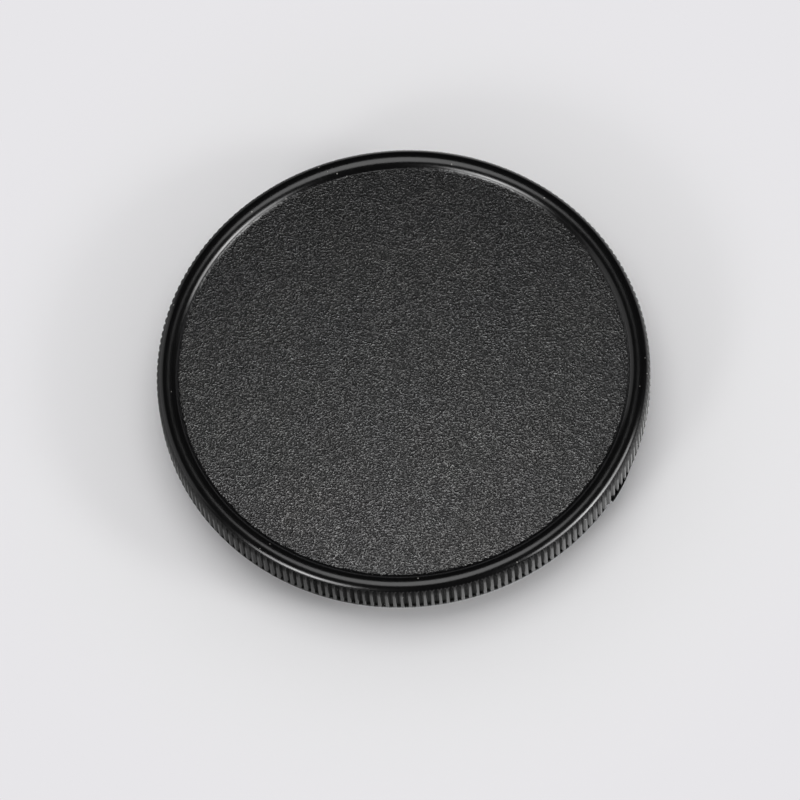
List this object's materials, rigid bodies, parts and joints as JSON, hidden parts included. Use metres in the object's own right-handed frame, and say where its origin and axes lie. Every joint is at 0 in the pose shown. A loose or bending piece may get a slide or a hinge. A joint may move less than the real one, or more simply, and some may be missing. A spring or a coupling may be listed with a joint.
{
  "type": "camera body cap",
  "caption": "Round black plastic body cap for a camera: a grained sunken face inside a smooth rounded bead, a finely fluted edge, and a bayonet collar with lugs on the underside.",
  "frame": {"origin": "centre of the bayonet collar's foot, on the surface that the cap stands on", "axes": "+Z along the cap's axis, out through its face; +X to the right and +Y away from the viewer of the picture"},
  "size_m": [0.0554, 0.0554, 0.0093],
  "materials": {
    "moulded_plastic": "semi-gloss black on the bead and the fluted edge, fine leather-like moulded grain on the sunken field"
  },
  "bodies": {
    "root": {"body_cap": "moulded_plastic"}
  },
  "joints": []
}
